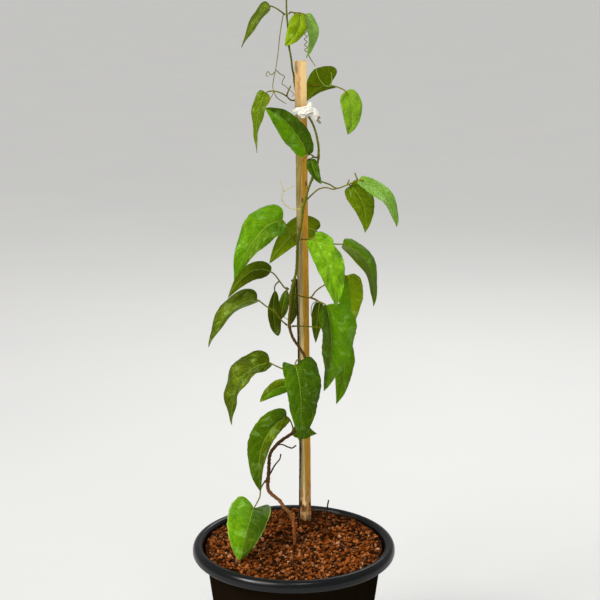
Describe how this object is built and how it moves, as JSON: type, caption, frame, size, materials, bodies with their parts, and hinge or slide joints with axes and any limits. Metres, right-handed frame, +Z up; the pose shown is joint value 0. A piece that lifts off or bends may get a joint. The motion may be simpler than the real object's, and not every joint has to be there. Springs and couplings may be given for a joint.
{
  "type": "potted flame vine",
  "caption": "Young climbing vine with paired heart-shaped leaflets and coiling tendrils, tied to a split wooden stake in a black plastic grower pot.",
  "frame": {"origin": "middle of the pot's underside, on the surface it stands on", "axes": "+Z up along the pot's axis; the plant is seen from the front along +Y, with +X to the right"},
  "size_m": [0.1344, 0.1344, 0.4892],
  "materials": {
    "pot_plastic": "black moulded plastic, satin, with a duller worn rim",
    "soil": "damp crumbly red-brown potting soil",
    "stake_wood": "raw split softwood with pale and tan faces",
    "tie_plastic": "soft white plastic strip",
    "bark": "thin brown bark, green towards the top",
    "tendril": "thin dry olive tendril",
    "leaf": "living leaf, waxy above and matte olive beneath"
  },
  "bodies": {
    "root": {"pot": "pot_plastic", "soil": "soil", "stake": "stake_wood", "tie": "tie_plastic", "main_stem": "bark", "back_stem": "bark", "soil_twig": "bark", "tendril_left": "tendril", "leaf_lowest": "leaf", "leaf_folded": "leaf", "leaf_small_behind": "leaf", "leaf_low_left": "leaf", "leaf_large_front": "leaf", "leaf_arched_left": "leaf", "leaf_tall_right": "leaf", "leaf_three_left": "leaf", "leaf_behind_stake": "leaf", "leaf_three_right": "leaf", "leaf_bright_left": "leaf", "leaf_three_middle": "leaf", "leaf_pair_right": "leaf", "leaf_pair_knee": "leaf", "leaf_upper_left": "leaf", "leaf_pair_behind": "leaf", "leaf_top_left": "leaf", "leaf_top_right": "leaf", "leaf_tip": "leaf"}
  },
  "joints": []
}
